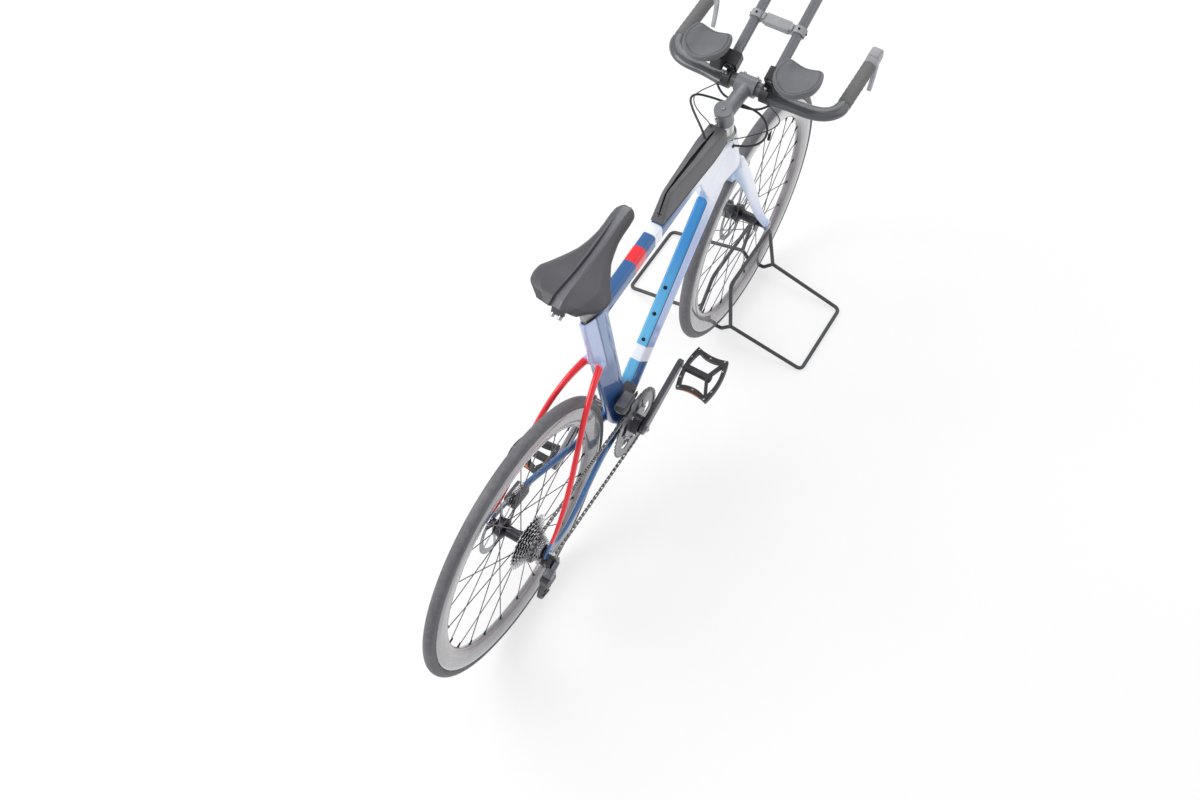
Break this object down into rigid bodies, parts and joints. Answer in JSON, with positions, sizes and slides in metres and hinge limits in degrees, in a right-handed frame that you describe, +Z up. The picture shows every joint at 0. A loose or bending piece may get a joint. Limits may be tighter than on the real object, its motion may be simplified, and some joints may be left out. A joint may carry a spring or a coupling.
{
  "type": "triathlon bicycle on a front wheel floor stand",
  "caption": "Triathlon bike with aero bars, deep rims, disc brakes and a storage box, its front wheel held in a bent-rod floor stand.",
  "frame": {"origin": "on the floor midway between the two axles, in the bike's centre plane", "axes": "+X forward to the front wheel, +Y to the rider's left, +Z up"},
  "size_m": [1.717, 0.534, 1.0535],
  "materials": {
    "tyre": "matt moulded rubber",
    "carbon": "satin carbon fibre",
    "frame_paint": "gloss lacquer, blue to pale lavender and white",
    "stay_paint": "gloss red lacquer",
    "fork_paint": "gloss pale blue lacquer",
    "hub_alloy": "dark anodised",
    "spoke_steel": "dark bladed spoke wire",
    "rotor_steel": "ground",
    "gear_steel": "nickel plated",
    "crank_alloy": "dark anodised",
    "ring_alloy": "anodised",
    "axle_steel": "turned",
    "pedal_nylon": "moulded",
    "bar_carbon": "satin carbon fibre",
    "grip_tape": "perforated wrap",
    "control_black": "moulded",
    "stem_alloy": "satin anodised",
    "spacer_alloy": "satin",
    "pad_foam": "foam pad with knitted cover",
    "bracket_alloy": "satin black",
    "bridge_plastic": "moulded",
    "saddle_cover": "stitched synthetic leather",
    "rail_steel": "plain",
    "box_plastic": "moulded, with soft top lips",
    "caliper_black": "satin anodised",
    "stand_steel": "dark grey powder coat",
    "hose_rubber": "smooth jacket"
  },
  "bodies": {
    "front_end": {"wheel_stand": "stand_steel", "fork": "fork_paint", "front_axle": "axle_steel", "headset_spacers": "spacer_alloy", "stem": "stem_alloy", "top_cap": "crank_alloy", "base_bar": "bar_carbon", "bar_grips": "grip_tape", "brake_levers": "control_black", "extensions": "bar_carbon", "shifters": "control_black", "arm_pads": "pad_foam", "pad_brackets": "bracket_alloy", "bridge_mount": "bridge_plastic", "front_caliper": "caliper_black", "brake_hoses": "hose_rubber", "shift_wires": "hose_rubber"},
    "frame": {"main_frame": "frame_paint", "seat_stays": "stay_paint", "chain_stays": "frame_paint", "seatpost": "carbon", "saddle": "saddle_cover", "saddle_rails": "rail_steel", "storage_box": "box_plastic", "chain": "gear_steel", "derailleur_cage": "gear_steel", "rear_derailleur": "control_black", "front_derailleur": "control_black", "rear_caliper": "caliper_black", "rear_axle": "axle_steel"},
    "front_wheel": {"front_tyre": "tyre", "front_rim": "carbon", "front_hub": "hub_alloy", "front_spokes": "spoke_steel", "front_rotor": "rotor_steel"},
    "rear_wheel": {"rear_tyre": "tyre", "rear_rim": "carbon", "rear_hub": "hub_alloy", "rear_spokes": "spoke_steel", "rear_rotor": "rotor_steel", "cassette": "gear_steel"},
    "crank": {"chainrings": "ring_alloy", "crank_right": "crank_alloy", "crank_left": "crank_alloy", "pedal_axles": "axle_steel"},
    "pedal_right": {"pedal_right": "pedal_nylon"},
    "pedal_left": {"pedal_left": "pedal_nylon"}
  },
  "joints": [
    {"name": "steering", "type": "hinge", "parent": "front_end", "child": "frame", "pos_m": [0.47958, 0, 0.32247], "axis": [-0.3007, 0, 0.9537], "range_deg": [-50, 50], "deforming": ["brake_hoses", "shift_wires"]},
    {"name": "front_wheel_spin", "type": "hinge", "parent": "front_end", "child": "front_wheel", "pos_m": [0.5225, 0, 0.336], "axis": [0, 1, 0], "continuous": true},
    {"name": "rear_wheel_spin", "type": "hinge", "parent": "frame", "child": "rear_wheel", "pos_m": [-0.5225, 0, 0.336], "axis": [0, 1, 0], "continuous": true},
    {"name": "crank_spin", "type": "hinge", "parent": "frame", "child": "crank", "pos_m": [-0.1115, 0, 0.267], "axis": [0, 1, 0], "continuous": true},
    {"name": "pedal_right_spin", "type": "hinge", "parent": "crank", "child": "pedal_right", "pos_m": [0.0506, -0.131, 0.326], "axis": [0, 1, 0], "continuous": true},
    {"name": "pedal_left_spin", "type": "hinge", "parent": "crank", "child": "pedal_left", "pos_m": [-0.2736, 0.131, 0.208], "axis": [0, 1, 0], "continuous": true}
  ]
}
